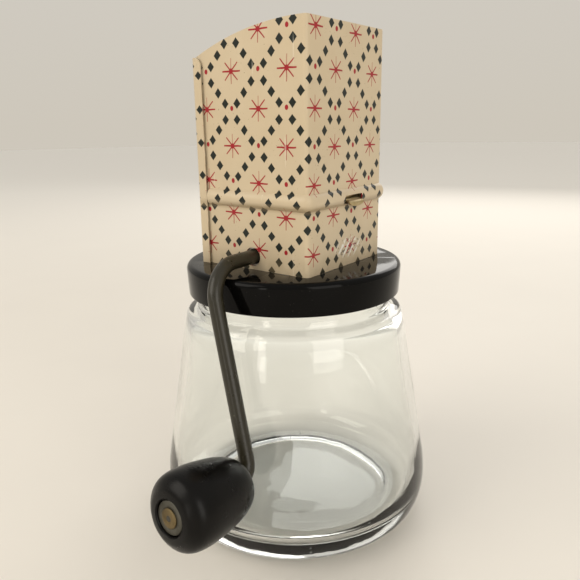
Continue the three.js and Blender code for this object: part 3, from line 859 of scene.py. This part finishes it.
def make_hopper_wrap(printed, bare):
    """The sheet round three sides, with its bead, shaft holes and slot."""
    half = HOPPER_HALF
    inner = half - CORNER
    end_x = -half + 0.3 * MM
    bead_end = BEAD_END_X - BEAD_END_LENGTH

    def bead_share(x):
        if x >= BEAD_END_X:
            return 1.0
        part = min(1.0, (BEAD_END_X - x) / BEAD_END_LENGTH)
        return math.sqrt(1 - part ** 2)

    def side(y, out):
        closing = [
            bead_end + BEAD_END_LENGTH * (1 - math.cos(math.pi / 2 * i / 6)) for i in range(7)
        ]
        places = [(end_x, y, out), ((end_x + bead_end) / 2, y, out)]
        places += [(x, y, out) for x in closing]
        places += straight((BEAD_END_X, y), (inner, y), out, 16)[1:]
        return places

    front = side(-half, (0, -1))
    back = side(half, (0, 1))[::-1]
    places = [
        *front,
        *corner((inner, -inner), CORNER, -90, 0, 8)[1:],
        *straight((half, -inner), (half, inner), (1, 0), 18)[1:],
        *corner((inner, inner), CORNER, 0, 90, 8)[1:],
        *back[1:],
    ]
    front_corner = len(front) + 3
    wrap = make_sheet(
        "hopper_wrap_sheet", places, top_edge, [printed, bare],
        front_corner, lattice(WRAP_STAR), bead_share,
    )
    past = half + 2 * MM
    hole_profile = [(0.0, -past), (HOLE_RADIUS, -past), (HOLE_RADIUS, past), (0.0, past)]
    hole = lathe("hole", hole_profile, [], 48, ALONG_SHAFT)
    slot = box(
        "slot",
        (half - 2 * MM, SLOT_Y - SLOT_HALF, SLOT_LOW_Z),
        (half + 3 * MM, SLOT_Y + SLOT_HALF, SLOT_HIGH_Z),
    )
    bevel(slot, 0.7 * MM, 3)
    settle(slot)
    cut(wrap, hole, slot)
    shade(wrap, 50)
    join(wrap, folded_tabs(WRAP_SIDES))
    finish_piece(wrap, "head", "printed_tin", "hopper_wrap")


def make_hopper_back(printed, bare):
    """The low fourth side, whose flanges fold over the wrap's free edges."""
    face = BACK_HIGH.y
    fold = 1.0 * MM
    back_x = BACK_LOW.x
    end_x = BACK_HIGH.x
    cut_radius = 2.6 * MM
    inner = face - fold

    def flange(y, out):
        round_end = [end_x - cut_radius * (1 - math.sin(math.pi / 2 * i / 7)) for i in range(8)]
        return [(x, y, out) for x in (back_x + fold, *round_end)]

    places = [
        *flange(-face, (0, -1))[::-1],
        *corner((back_x + fold, -inner), fold, -90, -180, 6)[1:],
        *straight((back_x, -inner), (back_x, inner), (-1, 0), 16)[1:],
        *corner((back_x + fold, inner), fold, 180, 90, 6)[1:],
        *flange(face, (0, 1))[1:],
    ][::-1]

    def top_of(x):
        into = max(0.0, x - (end_x - cut_radius))
        return HOPPER_LOW_TOP - (cut_radius - math.sqrt(max(0.0, cut_radius ** 2 - into ** 2)))

    sheet = make_sheet(
        "hopper_back_sheet", places, top_of, [printed, bare],
        len(places) - 1, lattice(BACK_STAR, BACK_SCALE, turned=True),
    )
    join(sheet, folded_tabs([BACK_SIDE]))
    finish_piece(sheet, "head", "printed_tin", "hopper_back")


# ---- Grate and blades ------------------------------------------------------------------------

BLADE_PITCH = 6.2 * MM


def strip(name, path, low_y, high_y, thickness, materials, round_tip=0.0):
    """A band of sheet that follows a path of (x, z) points, from low_y to high_y.

    round_tip: the length over which the path's end is rounded off.
    """
    bm = bmesh.new()
    rows = []
    for index, (x, z) in enumerate(path):
        before = path[max(index - 1, 0)]
        after = path[min(index + 1, len(path) - 1)]
        heading = Vector((after[0] - before[0], after[1] - before[1])).normalized()
        normal = Vector((-heading.y, heading.x)) * thickness / 2
        left = math.dist((x, z), path[-1])
        inset = 0.0
        if left < round_tip:
            narrow = math.sqrt(max(0.03, 1 - (1 - left / round_tip) ** 2))
            inset = (high_y - low_y) / 2 * (1 - narrow)
        low, high = low_y + inset, high_y - inset
        rows.append([
            bm.verts.new((x + normal.x * side, y, z + normal.y * side))
            for side, y in ((1, low), (1, high), (-1, high), (-1, low))
        ])
    for a, b in zip(rows, rows[1:]):
        for i in range(4):
            bm.faces.new((a[i], a[(i + 1) % 4], b[(i + 1) % 4], b[i]))
    bm.faces.new(rows[0][::-1])
    bm.faces.new(rows[-1])
    return from_bmesh(name, bm, materials, 50)


def make_grate(steel):
    """The rim in the bead's groove, and two aprons that end in fingers between the blades."""
    sheet = 0.8 * MM
    window_x, window_y = 17 * MM, 19 * MM
    inside = HOPPER_HALF - 1.1 * MM
    in_groove = HOPPER_HALF + 0.5 * MM
    corner_x = HOPPER_HALF - CORNER
    groove_x = BEAD_END_X + 0.5 * MM
    back_x = GRATE_LOW.x
    by_slot = HOPPER_HALF - 0.9 * MM        # short of the slot, so that the slot reads dark
    half = [
        (back_x, inside), (groove_x, inside), (groove_x, in_groove), (corner_x, in_groove),
        (by_slot, corner_x),
    ]
    outline = [*half, *[(x, -y) for x, y in half[::-1]]]
    bm = bmesh.new()
    bottom = bm.faces.new([bm.verts.new((x, y, BEAD_Z - sheet / 2)) for x, y in outline])
    raised = bmesh.ops.extrude_face_region(bm, geom=[bottom])["geom"]
    raised_verts = [item for item in raised if isinstance(item, bmesh.types.BMVert)]
    bmesh.ops.translate(bm, vec=(0, 0, sheet), verts=raised_verts)
    rim = from_bmesh("grate", bm, [steel])
    cut(rim, box("window", (-window_x, -window_y, BEAD_Z - MM), (window_x, window_y, BEAD_Z + MM)))
    pieces = []
    root_x, root_z = 14.6, 108.2        # where the fingers start, in mm
    finger_half = 1.3 * MM
    for side in (-1, 1):
        apron = [
            (side * (window_x + 0.6 * MM), BEAD_Z - 0.1 * MM),
            (side * (window_x + 0.1 * MM), BEAD_Z - 0.7 * MM),
            (side * root_x * MM, root_z * MM),
        ]
        pieces.append(strip("apron", apron, -window_y, window_y, sheet, [steel]))
        finger = [
            (side * (root_x - 9 * i / 8) * MM, (root_z - 4.2 * (i / 8) ** 0.9) * MM) for i in range(9)
        ]
        for index in range(7):
            middle = (index - 3) * BLADE_PITCH
            low_y, high_y = middle - finger_half, middle + finger_half
            pieces.append(strip("finger", finger, low_y, high_y, sheet, [steel], finger_half))
    join(rim, pieces)
    bevel(rim, 0.15 * MM, 2)
    settle(rim, 50)
    finish_piece(rim, "head", "grate_steel", "chopping_grate")


def make_lock_tab(brass):
    """The tongue that comes out of the slot and is turned down over the bead."""
    out = HOPPER_HALF + BEAD_PROUD
    z = BEAD_Z - 1.25 * MM
    path = curve_through([
        (HOPPER_HALF - 0.8 * MM, z + 0.3 * MM), (out - 1.0 * MM, z + 0.1 * MM),
        (out - 0.2 * MM, z - 0.1 * MM), (out + 0.35 * MM, z - 0.5 * MM),
        (out + 0.5 * MM, z - 1.1 * MM), (out + 0.4 * MM, z - 1.8 * MM),
    ], 5)
    low_y, high_y = SLOT_Y - 3.6 * MM, SLOT_Y + 5.0 * MM
    tab = strip("lock_tab", path, low_y, high_y, 0.6 * MM, [brass], 1.2 * MM)
    bevel(tab, 0.25 * MM, 3)
    settle(tab, 50)
    finish_piece(tab, "head", "grate_steel")


# ---- Crank and knob --------------------------------------------------------------------------

SPINDLE = Vector(JOINTS["knob_spin"]["axis"]).normalized()
JOINT_ALONG = 15                # mm along the spindle from its corner to the knob's joint
SPINDLE_CORNER = Vector(JOINTS["knob_spin"]["pos_m"]) - SPINDLE * JOINT_ALONG * MM
SHAFT_CORNER = Vector((0, -42.7 * MM, SHAFT_Z))
SHAFT_BEND = 12.4 * MM
SPINDLE_BEND = 4.8 * MM
KNOB_OFFSET = 5.1 * MM          # from the spindle's corner to the knob's inner end
KNOB_LENGTH = 26.6 * MM
# Takes a piece turned round Z to the spindle, with its origin at the knob's inner end.
ON_SPINDLE = (
    Matrix.Translation(SPINDLE_CORNER + SPINDLE * KNOB_OFFSET)
    @ SPINDLE.to_track_quat("Z", "Y").to_matrix().to_4x4()
)
OUT = Vector((0, -1, 0))


def bend(corner_point, before, after, radius, count):
    """Places and headings round one bend of the rod."""
    turn = before.angle(after)
    inward = (after - before * after.dot(before)).normalized()
    start = corner_point - before * radius * math.tan(turn / 2)
    stations = []
    for i in range(count + 1):
        angle = turn * i / count
        place = start + before * radius * math.sin(angle) + inward * radius * (1 - math.cos(angle))
        stations.append((place, before * math.cos(angle) + inward * math.sin(angle)))
    return stations


def make_crank_rod(paint, brass):
    """The bent rod from the shaft's far end to the spindle, and its peened head."""
    arm = (SPINDLE_CORNER - SHAFT_CORNER).normalized()
    sideways = arm.cross(OUT).normalized()
    shaft_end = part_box("crank_rod")[1].y
    rod_end = SPINDLE_CORNER + SPINDLE * (KNOB_OFFSET + KNOB_LENGTH - 0.1 * MM)
    shaft_bend = bend(SHAFT_CORNER, OUT, arm, SHAFT_BEND, 24)
    spindle_bend = bend(SPINDLE_CORNER, arm, SPINDLE, SPINDLE_BEND, 16)
    arm_start, arm_end = shaft_bend[-1][0], spindle_bend[0][0]
    arm_places = [(arm_start.lerp(arm_end, i / 10), arm) for i in range(1, 10)]
    stations = [
        (Vector((0, shaft_end, SHAFT_Z)), OUT),
        *shaft_bend, *arm_places, *spindle_bend,
        (rod_end, SPINDLE),
    ]
    sides = 40
    bm = bmesh.new()
    rings = []
    for place, heading in stations:
        up = heading.cross(sideways)
        rings.append([
            bm.verts.new(
                place
                + sideways * ROD_RADIUS * math.cos(2 * math.pi * i / sides)
                + up * ROD_RADIUS * math.sin(2 * math.pi * i / sides)
            )
            for i in range(sides)
        ])
    for a, b in zip(rings, rings[1:]):
        for i in range(sides):
            bm.faces.new((a[i], a[(i + 1) % sides], b[(i + 1) % sides], b[i]))
    bm.faces.new(rings[0][::-1])
    bm.faces.new(rings[-1])
    rod = from_bmesh("crank_rod_bent", bm, [paint], 40)
    bevel(rod, 0.4 * MM, 3, 60)
    settle(rod, 40)
    finish_piece(rod, "crank", "painted_rod", "crank_rod")
    head_at = ON_SPINDLE @ Matrix.Translation((0, 0, KNOB_LENGTH))
    head = lathe("spindle_head", [
        (0.0, -0.7 * MM), (2.6 * MM, -0.7 * MM), (2.85 * MM, -0.45 * MM), (2.8 * MM, -0.2 * MM),
        (2.3 * MM, 0.0), (1.5 * MM, 0.08 * MM), (1.0 * MM, 0.0), (0.7 * MM, -0.2 * MM), (0.0, -0.25 * MM),
    ], [brass], 64, head_at, 60)
    finish_piece(head, "crank", "washer_steel")


def make_knob(black, steel):
    """The knob, and the washer in the seat at its outer end."""
    bore = ROD_RADIUS + 0.15 * MM
    seat, seat_depth = 5.1 * MM, 1.3 * MM
    side = curve_through([*mm(
        (5.3, 0.0), (7.3, 0.9), (8.75, 3.3), (10.05, 7.3), (10.9, 12.4), (11.4, 17.6), (11.2, 21.7),
        (10.2, 24.2), (7.9, 26.0),
    ), (6.2 * MM, KNOB_LENGTH - 0.12 * MM)], 5)
    profile = [
        (bore, 0.8 * MM), (bore + 0.8 * MM, 0.0), *side, (seat + 0.35 * MM, KNOB_LENGTH - 0.05 * MM),
        (seat, KNOB_LENGTH - 0.4 * MM), (seat, KNOB_LENGTH - seat_depth),
        (bore, KNOB_LENGTH - seat_depth),
    ]
    knob = lathe("knob_turned", profile, [black], 96, ON_SPINDLE, 45)
    finish_piece(knob, "knob_body", "black_knob", "knob")
    low, high = KNOB_LENGTH - seat_depth + 0.1 * MM, KNOB_LENGTH - 0.55 * MM
    washer = lathe("knob_washer_ring", [
        (2.55 * MM, low), (4.7 * MM, low), (4.8 * MM, low + 0.12 * MM), (4.8 * MM, high - 0.2 * MM),
        (4.6 * MM, high), (2.7 * MM, high + 0.05 * MM), (2.55 * MM, high - 0.1 * MM),
    ], [steel], 96, ON_SPINDLE, 50)
    finish_piece(washer, "crank", "washer_steel", "knob_washer")


def make_shaft_end(steel):
    """The washer and the push nut on the shaft's far end, outside the hopper."""
    bore = ROD_RADIUS + 0.1 * MM
    low = HOPPER_HALF + 0.3 * MM
    washer = lathe("shaft_washer_ring", [
        (bore, low), (3.75 * MM, low), (3.9 * MM, low + 0.15 * MM), (3.9 * MM, low + 0.8 * MM),
        (3.7 * MM, low + 1.0 * MM), (bore, low + 1.0 * MM),
    ], [steel], 72, ALONG_SHAFT, 40)
    finish_piece(washer, "crank", "plain_tin", "shaft_washer")
    seat = HOPPER_HALF + 1.6 * MM
    nut = lathe("shaft_push_nut_dish", [
        (bore, seat), (3.7 * MM, seat), (3.85 * MM, seat + 0.3 * MM), (3.6 * MM, seat + 0.7 * MM),
        (3.35 * MM, seat + 1.1 * MM), (3.0 * MM, seat + 1.9 * MM), (bore, seat + 2.0 * MM),
    ], [steel], 72, ALONG_SHAFT, 40)
    finish_piece(nut, "crank", "plain_tin", "shaft_push_nut")


def refinish(prefix, material, width):
    """Gives the CAD nodes whose names start so a finish of their own and a softened edge."""
    for name, obj in frame["nodes"].items():
        if name.startswith(prefix):
            obj.data.materials.clear()
            obj.data.materials.append(material)
            bevel(obj, width, 2)


# ---- The whole -------------------------------------------------------------------------------

def make_floor():
    bm = bmesh.new()
    bmesh.ops.create_circle(bm, cap_ends=True, segments=96, radius=4)
    floor = from_bmesh("floor", bm, [pale_floor()])
    floor.location.z = -0.1 * MM


make_camera()
make_floor()
make_lights()
make_world()

tin = bare_tin("bare_tin", (0.66, 0.64, 0.58))
blade_steel = bare_tin("blade_steel", (0.55, 0.55, 0.54), 0.35, (0.36, 0.31, 0.24))
grate_steel = bare_tin("grate_steel", (0.60, 0.50, 0.30), 0.34, (0.38, 0.28, 0.12))
brass = bare_tin("brassy_end", (0.20, 0.15, 0.075), 0.5, (0.10, 0.075, 0.04))
washer_steel = bare_tin("washer_steel", (0.13, 0.125, 0.105), 0.5, (0.07, 0.065, 0.05))

make_jar(clear_glass())
make_lid(black_lid())
make_hopper_wrap(printed_tin("printed_wrap", scuffed=True), tin)
make_hopper_back(printed_tin("printed_back"), tin)
make_grate(grate_steel)
make_lock_tab(grate_steel)
make_crank_rod(painted_rod(), brass)
make_knob(black_knob(), washer_steel)
make_shaft_end(tin)
refinish("star_blade", blade_steel, 0.12 * MM)
refinish("blade_spacer", tin, 0.15 * MM)
refinish("lid_liner", liner_board(), 0.15 * MM)

bpy.context.scene.view_settings.view_transform = "Standard"
